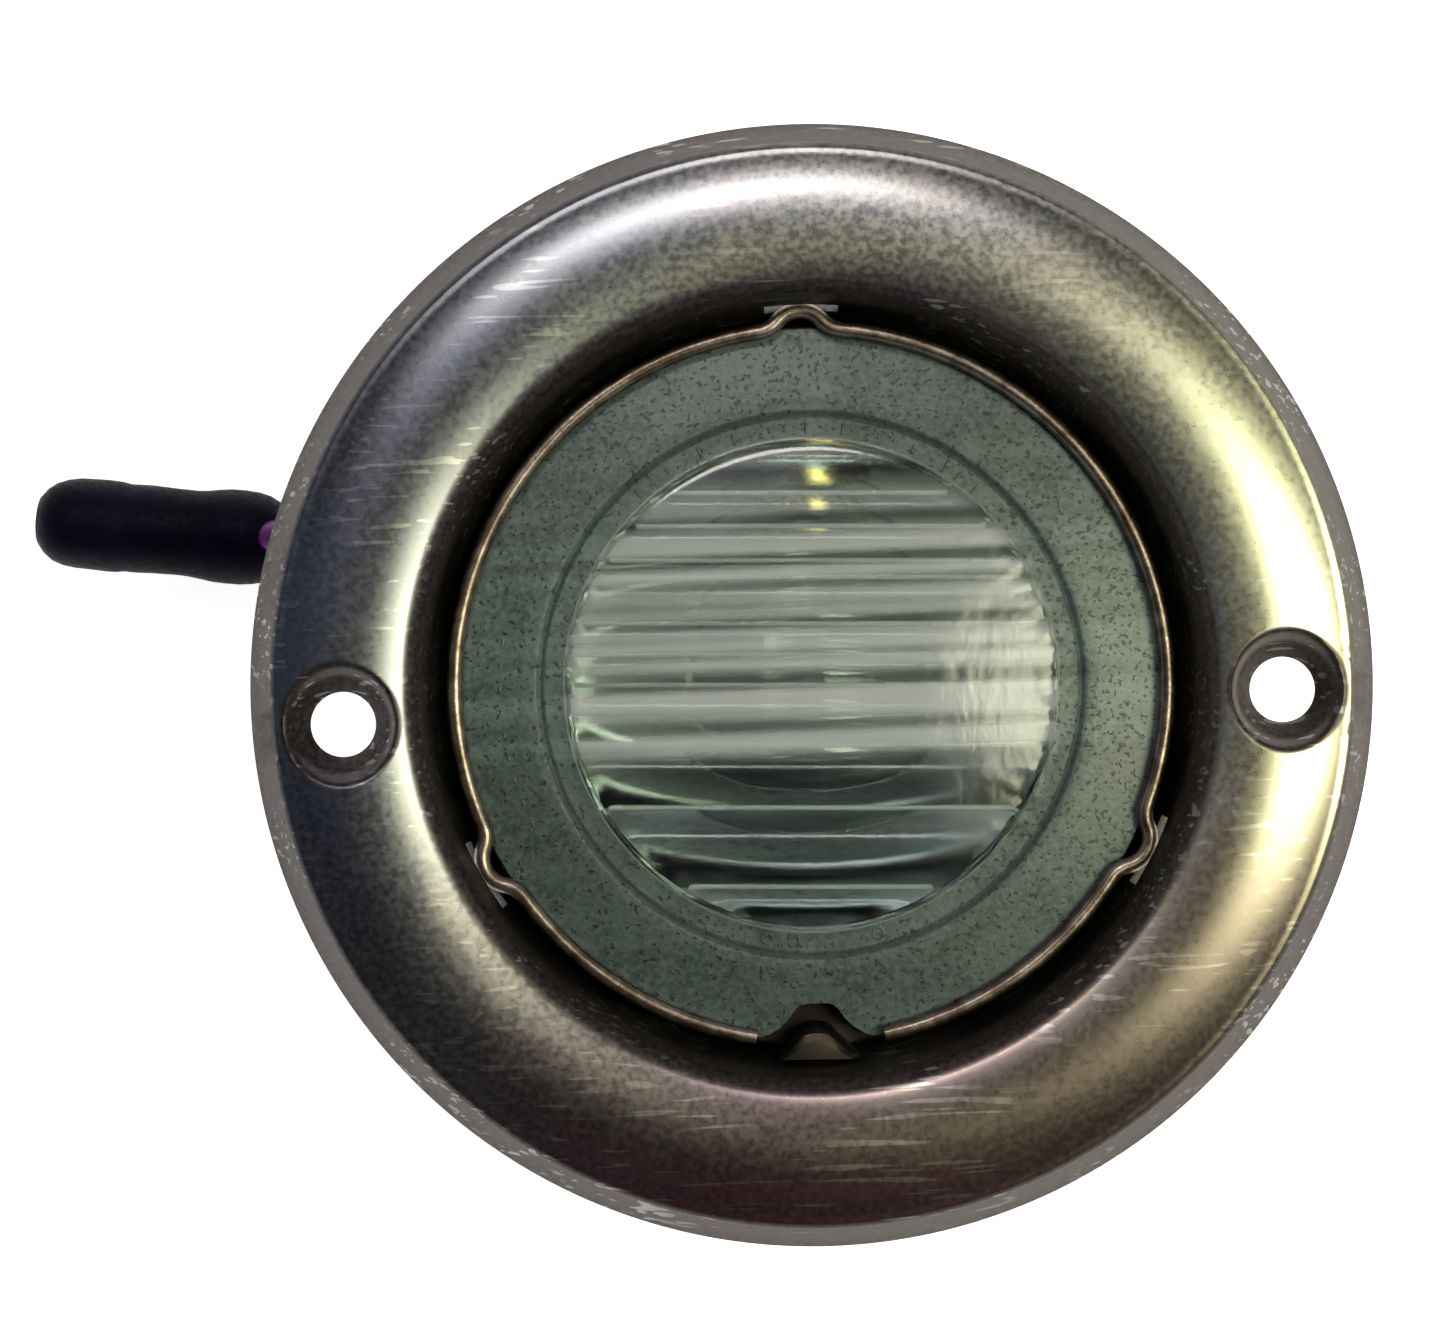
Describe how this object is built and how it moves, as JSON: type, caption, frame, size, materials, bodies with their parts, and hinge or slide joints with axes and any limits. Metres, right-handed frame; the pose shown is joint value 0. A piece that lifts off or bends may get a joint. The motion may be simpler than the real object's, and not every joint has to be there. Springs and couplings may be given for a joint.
{
  "type": "flush-mount reversing lamp",
  "caption": "Round flush-mount reversing lamp: crowned steel flange on a bowl, fluted glass lens under a wire ring, bayonet bulb, short lead with a bullet socket.",
  "frame": {"origin": "centre of the lamp's round outline on the plane that the bowl's floor rests on", "axes": "+Z along the optical axis, out of the lens; +X along the line of the two screw holes; +Y towards the bulb socket"},
  "size_m": [0.1427, 0.1177, 0.0431],
  "materials": {
    "stainless": "satin pressed stainless steel, worn",
    "ring_steel": "spring steel wire, slightly tarnished",
    "lens_glass": "clear pressed glass, stippled bands",
    "gasket_rubber": "black rubber",
    "plated_steel": "zinc-plated pressed steel",
    "brass": "dull brass",
    "fibre": "brown vulcanised fibre",
    "spring_steel": "bright spring wire",
    "bulb_glass": "clear thin glass",
    "black_glass": "black vitrified insulator",
    "solder": "dull solder",
    "tungsten": "tungsten wire",
    "nickel_wire": "nickel support wire",
    "black_rubber": "moulded black rubber",
    "purple_pvc": "purple PVC insulation",
    "copper": "bare copper strands"
  },
  "bodies": {
    "housing": {"housing": "stainless", "lens_gasket": "gasket_rubber", "socket_barrel": "plated_steel", "rear_insulator": "fibre", "lead_grommet": "black_rubber", "lead_inside": "purple_pvc", "contact_spring": "spring_steel", "lead": "purple_pvc", "connector_boot": "black_rubber", "bullet_receptacle": "brass", "lead_strands": "copper"},
    "lens": {"lens": "lens_glass"},
    "ring": {"retaining_ring": "ring_steel"},
    "contact": {"contact_carrier": "fibre", "contact_button": "brass"},
    "bulb": {"bulb_cap": "brass", "bulb_pins": "brass", "bulb_insulator": "black_glass", "bulb_contact": "solder", "bulb_glass": "bulb_glass", "bulb_stem": "bulb_glass", "bulb_filament": "tungsten", "filament_supports": "nickel_wire"}
  },
  "joints": [
    {"name": "lens_lift", "type": "slide", "parent": "housing", "child": "lens", "axis": [0, 0, 1], "range_m": [0, 0.03]},
    {"name": "ring_lift", "type": "slide", "parent": "housing", "child": "ring", "axis": [0, 0, 1], "range_m": [0, 0.048], "deforming": ["retaining_ring"]},
    {"name": "bulb_push", "type": "slide", "parent": "housing", "child": "contact", "axis": [0, 1, 0], "range_m": [0, 0.0016], "deforming": ["contact_spring", "lead_inside"]},
    {"name": "bulb_turn", "type": "hinge", "parent": "contact", "child": "bulb", "pos_m": [0, 0, 0.0156], "axis": [0, 1, 0], "range_deg": [0, 20]}
  ],
  "couplings": [
    {"joint": "ring_lift", "follows": "lens_lift", "ratio": 1.5},
    {"joint": "bulb_push", "follows": "bulb_turn", "m_per_rad": 0.004297}
  ]
}
